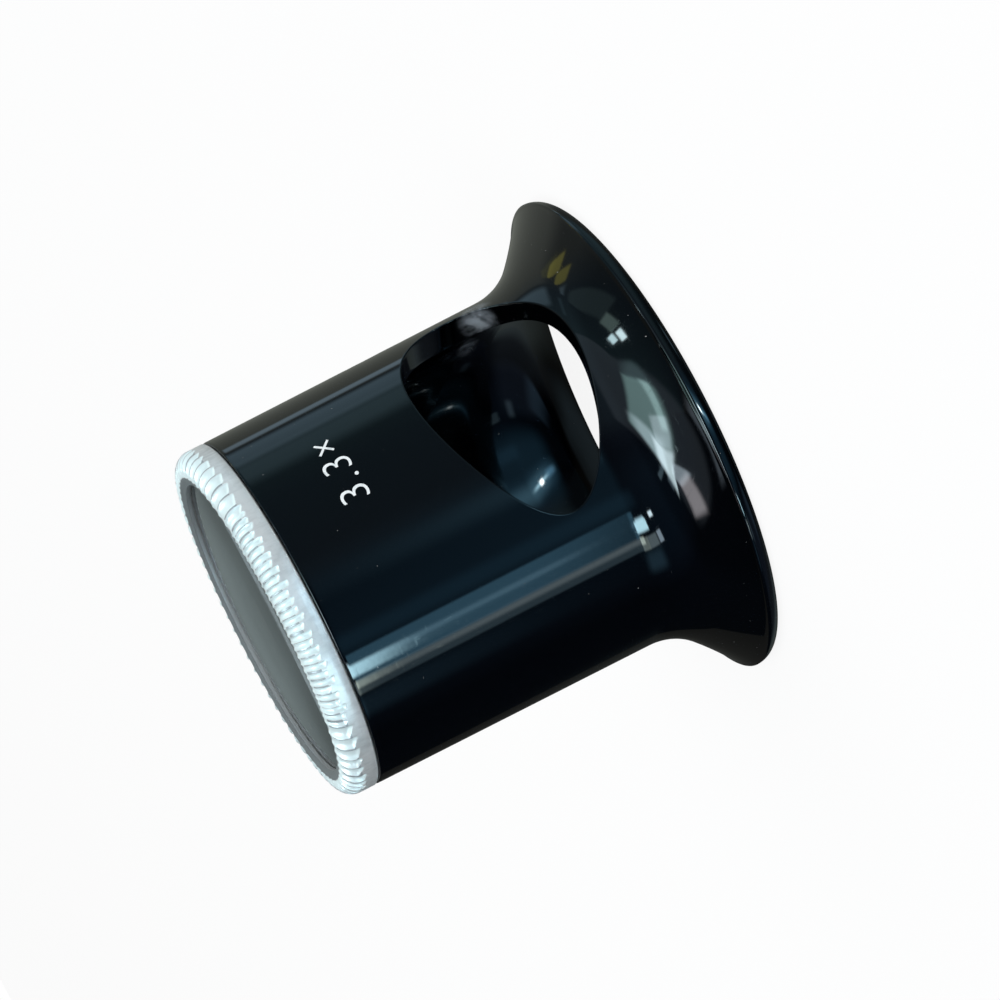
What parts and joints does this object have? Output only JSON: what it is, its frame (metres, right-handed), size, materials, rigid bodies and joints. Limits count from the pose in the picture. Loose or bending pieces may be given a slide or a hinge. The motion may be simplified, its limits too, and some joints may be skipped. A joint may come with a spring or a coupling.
{
  "type": "eye loupe",
  "caption": "Watchmaker's eye loupe: moulded barrel with a flared eye cup and a side window, a biconvex lens, and a knurled ring that screws in over the lens.",
  "frame": {"origin": "centre of the eye rim, on the plane that the loupe stands on", "axes": "+Z along the optical axis, from the eye cup to the lens; the side window faces -Y"},
  "size_m": [0.0388, 0.0388, 0.0337],
  "materials": {
    "housing_plastic": "deep black moulded plastic, polished inside and out",
    "lens_glass": "clear polished glass",
    "ring_aluminium": "satin-turned aluminium with a bright rolled knurl"
  },
  "bodies": {
    "housing": {"housing": "housing_plastic"},
    "lens": {"lens": "lens_glass"},
    "lens_ring": {"lens_ring": "ring_aluminium"}
  },
  "joints": [
    {"name": "ring_advance", "type": "slide", "parent": "housing", "child": "lens", "axis": [0, 0, 1], "range_m": [0, 0.0018]},
    {"name": "ring_turn", "type": "hinge", "parent": "lens", "child": "lens_ring", "pos_m": [0, 0, 0.0309], "axis": [0, 0, 1], "range_deg": [0, 1296]}
  ],
  "couplings": [
    {"joint": "ring_advance", "follows": "ring_turn", "m_per_rad": 0.000079577}
  ]
}
